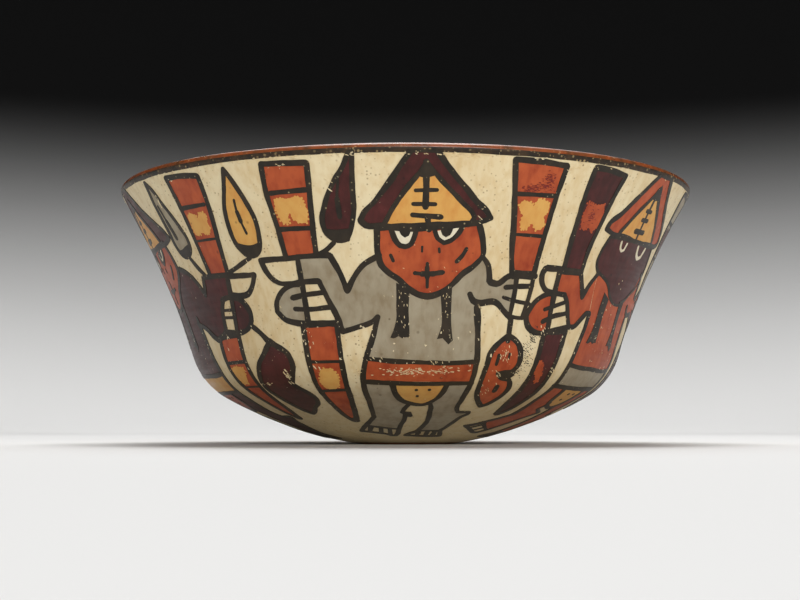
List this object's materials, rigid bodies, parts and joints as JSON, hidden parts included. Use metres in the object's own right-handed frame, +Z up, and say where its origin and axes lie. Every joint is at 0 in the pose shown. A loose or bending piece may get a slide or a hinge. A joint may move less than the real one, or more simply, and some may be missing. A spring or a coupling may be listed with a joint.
{
  "type": "painted pottery bowl",
  "caption": "Open pottery bowl with a flaring wall and rounded base, lined with red slip and painted outside with standing figures holding staffs.",
  "frame": {"origin": "centre of the small flat spot under the bowl, on the surface that it stands on", "axes": "+Z up along the axis the bowl was turned and painted round, -Y towards the viewer of the picture, +X to the viewer's right"},
  "size_m": [0.19, 0.19, 0.084],
  "materials": {
    "clay": "bare fired earthenware, matt",
    "cream_slip": "burnished slip, low sheen",
    "red_slip": "burnished slip, low sheen",
    "black_slip": "burnished slip, worn",
    "maroon_slip": "burnished slip, low sheen",
    "yellow_slip": "burnished slip, low sheen",
    "grey_slip": "burnished slip, low sheen"
  },
  "bodies": {
    "root": {"clay_body": "clay", "cream_ground": "cream_slip", "black_rim_line": "black_slip", "red_lining": "red_slip", "hat_1": "maroon_slip", "face_1": "red_slip", "tunic_1": "grey_slip", "belt_1": "red_slip", "apron_1": "yellow_slip", "left_leg_1": "grey_slip", "right_leg_1": "grey_slip", "left_staff_1": "red_slip", "right_staff_1": "red_slip", "feather_1": "maroon_slip", "pouch_1": "red_slip", "hat_2": "red_slip", "face_2": "maroon_slip", "tunic_2": "red_slip", "belt_2": "grey_slip", "apron_2": "yellow_slip", "left_leg_2": "red_slip", "right_leg_2": "red_slip", "left_staff_2": "maroon_slip", "right_staff_2": "grey_slip", "feather_2": "yellow_slip", "pouch_2": "maroon_slip", "hat_3": "grey_slip", "face_3": "red_slip", "tunic_3": "maroon_slip", "belt_3": "yellow_slip", "apron_3": "red_slip", "left_leg_3": "maroon_slip", "right_leg_3": "maroon_slip", "left_staff_3": "red_slip", "right_staff_3": "maroon_slip", "feather_3": "grey_slip", "pouch_3": "red_slip", "hat_4": "maroon_slip", "face_4": "yellow_slip", "tunic_4": "red_slip", "belt_4": "grey_slip", "apron_4": "yellow_slip", "left_leg_4": "grey_slip", "right_leg_4": "grey_slip", "left_staff_4": "maroon_slip", "right_staff_4": "red_slip", "feather_4": "maroon_slip", "pouch_4": "maroon_slip", "hat_5": "maroon_slip", "face_5": "red_slip", "tunic_5": "maroon_slip", "belt_5": "yellow_slip", "apron_5": "red_slip", "left_leg_5": "maroon_slip", "right_leg_5": "maroon_slip", "left_staff_5": "red_slip", "right_staff_5": "red_slip", "feather_5": "grey_slip", "pouch_5": "maroon_slip", "outer_feather_5": "yellow_slip"}
  },
  "joints": []
}
